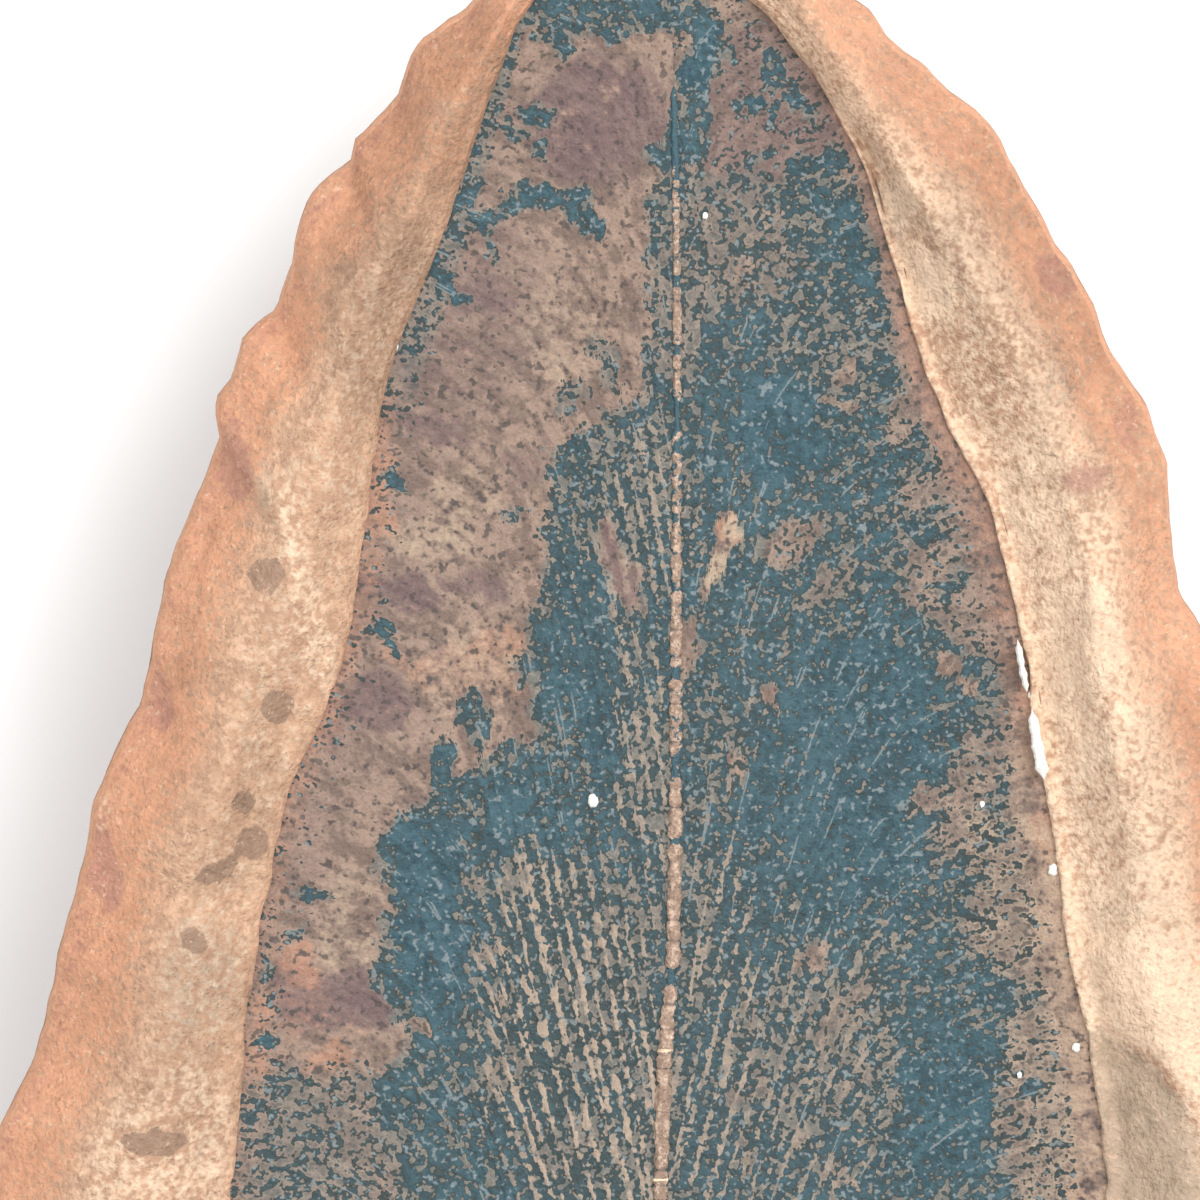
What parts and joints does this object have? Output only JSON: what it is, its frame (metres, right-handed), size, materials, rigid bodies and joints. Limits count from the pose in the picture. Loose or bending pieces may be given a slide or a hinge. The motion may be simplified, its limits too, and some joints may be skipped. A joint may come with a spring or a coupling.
{
  "type": "fossil fern leaflet plate",
  "caption": "Half of a split ironstone nodule with a sunken fossil seed-fern leaflet on its flat face; lies on its rounded back, face up.",
  "frame": {"origin": "on the table under the middle of the stone's bounding box", "axes": "+Z out of the split face, +Y along the leaflet's midrib towards its tip, +X to the right of the leaflet seen from above"},
  "size_m": [0.0454, 0.0818, 0.0153],
  "materials": {
    "stone": "matt weathered ironstone, pale tan on the split face with an orange rind towards the edge",
    "leaf": "blue-black carbon film with a faint sheen over brown veined stone"
  },
  "bodies": {
    "root": {"nodule_stone": "stone", "fern_leaf": "leaf"}
  },
  "joints": []
}
